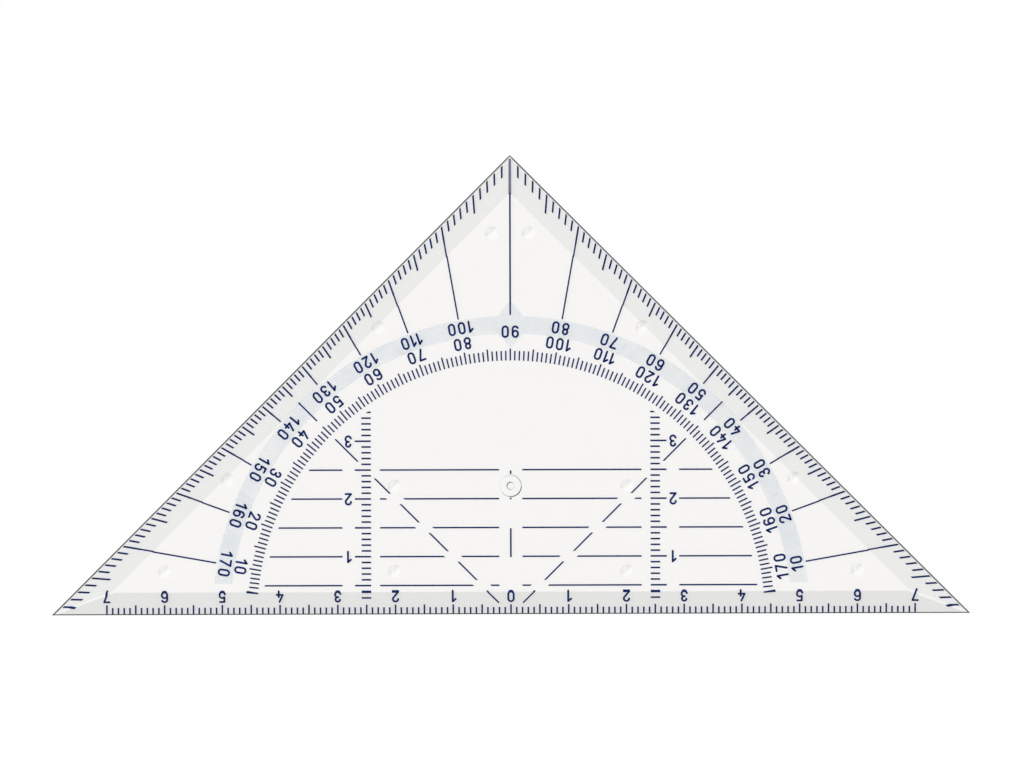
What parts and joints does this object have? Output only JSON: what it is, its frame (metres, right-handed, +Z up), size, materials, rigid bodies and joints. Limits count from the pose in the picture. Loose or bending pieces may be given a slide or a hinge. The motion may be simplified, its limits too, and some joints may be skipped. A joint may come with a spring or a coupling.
{
  "type": "set square",
  "caption": "Clear acrylic right isosceles set square with a built-in half-circle protractor, bevelled edges, a centimetre scale on the long edge and printed parallel lines.",
  "frame": {"origin": "the common zero mark of the centimetre scale and the protractor: the middle of the ruling edge, at the level of the feet of the nubs", "axes": "+Z up out of the plate's top face, +X along the ruling edge to the right, +Y from the ruling edge to the right-angle corner"},
  "size_m": [0.159, 0.0795, 0.0024],
  "materials": {
    "clear_acrylic": "injection-moulded clear acrylic, polished, with a faint cool grey tone",
    "navy_ink": "screen-printed opaque navy ink film",
    "pale_tint": "screen-printed translucent pale blue-grey ink film"
  },
  "bodies": {
    "root": {"plate": "clear_acrylic", "edge_scale": "navy_ink", "outer_degree_scale": "navy_ink", "ten_degree_lines": "navy_ink", "diagonal_marks": "navy_ink", "inner_degree_scale": "navy_ink", "diagonal_lines": "navy_ink", "parallel_lines": "navy_ink", "centre_line": "navy_ink", "left_upright_scale": "navy_ink", "right_upright_scale": "navy_ink", "degree_band": "pale_tint"}
  },
  "joints": []
}
